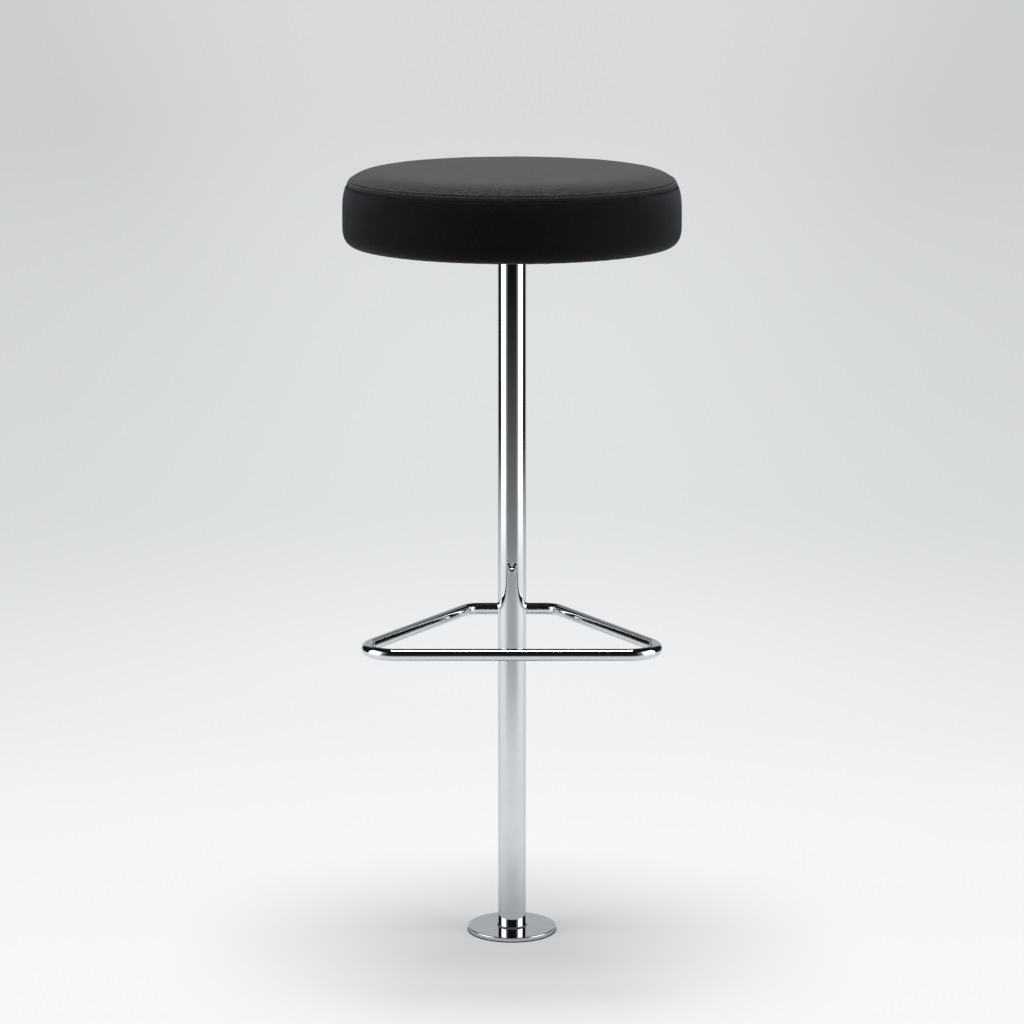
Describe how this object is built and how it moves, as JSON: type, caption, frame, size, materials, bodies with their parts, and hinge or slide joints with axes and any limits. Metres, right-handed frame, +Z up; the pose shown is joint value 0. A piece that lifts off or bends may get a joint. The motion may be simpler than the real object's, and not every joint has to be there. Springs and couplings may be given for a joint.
{
  "type": "counter stool",
  "caption": "Round padded counter stool whose seat swivels on a slim chromed column, with a bent rod footrest and a small round foot fixed to the floor.",
  "frame": {"origin": "on the column's axis, on the underside of the floor plate, where the stool meets the floor", "axes": "+Z up along the column, -Y towards the footrest's front bar, which is the sitter's front, +X to the right as seen from the front"},
  "size_m": [0.3556, 0.3976, 0.8286],
  "materials": {
    "chrome": "mirror polished chrome plate",
    "plain_steel": "turned or cut steel, lightly oiled",
    "zinc_plated": "bright zinc plate",
    "black_steel": "black powder coat or black oxide",
    "rubber": "matt dark grey rubber",
    "nylon": "natural nylon",
    "plywood": "birch plywood, unfinished",
    "foam": "upholstery foam",
    "seat_fabric": "fine woven charcoal upholstery fabric",
    "lining": "black spun lining cloth"
  },
  "bodies": {
    "post": {"floor_plate": "plain_steel", "foot_cover": "chrome", "foot_gasket": "rubber", "column_spigot": "plain_steel", "set_screw_1": "black_steel", "set_screw_2": "black_steel", "column_tube": "chrome", "footrest": "chrome", "bearing_housing": "zinc_plated", "upper_bush": "nylon", "lower_bush": "nylon", "thrust_washer": "plain_steel", "retaining_washer": "zinc_plated"},
    "seat": {"pivot_spindle": "plain_steel", "retaining_ring": "plain_steel", "seat_plate": "black_steel", "seat_bolt_1": "zinc_plated", "seat_bolt_2": "zinc_plated", "seat_bolt_3": "zinc_plated", "seat_bolt_4": "zinc_plated", "tee_nut_1": "zinc_plated", "tee_nut_2": "zinc_plated", "tee_nut_3": "zinc_plated", "tee_nut_4": "zinc_plated", "seat_board": "plywood", "foam_pad": "foam", "cover_top": "seat_fabric", "cover_band": "seat_fabric", "seam_welt": "seat_fabric", "dust_cover": "lining"}
  },
  "joints": [
    {"name": "seat_swivel", "type": "hinge", "parent": "post", "child": "seat", "pos_m": [0, 0, 0.7393], "axis": [0, 0, 1], "continuous": true}
  ]
}
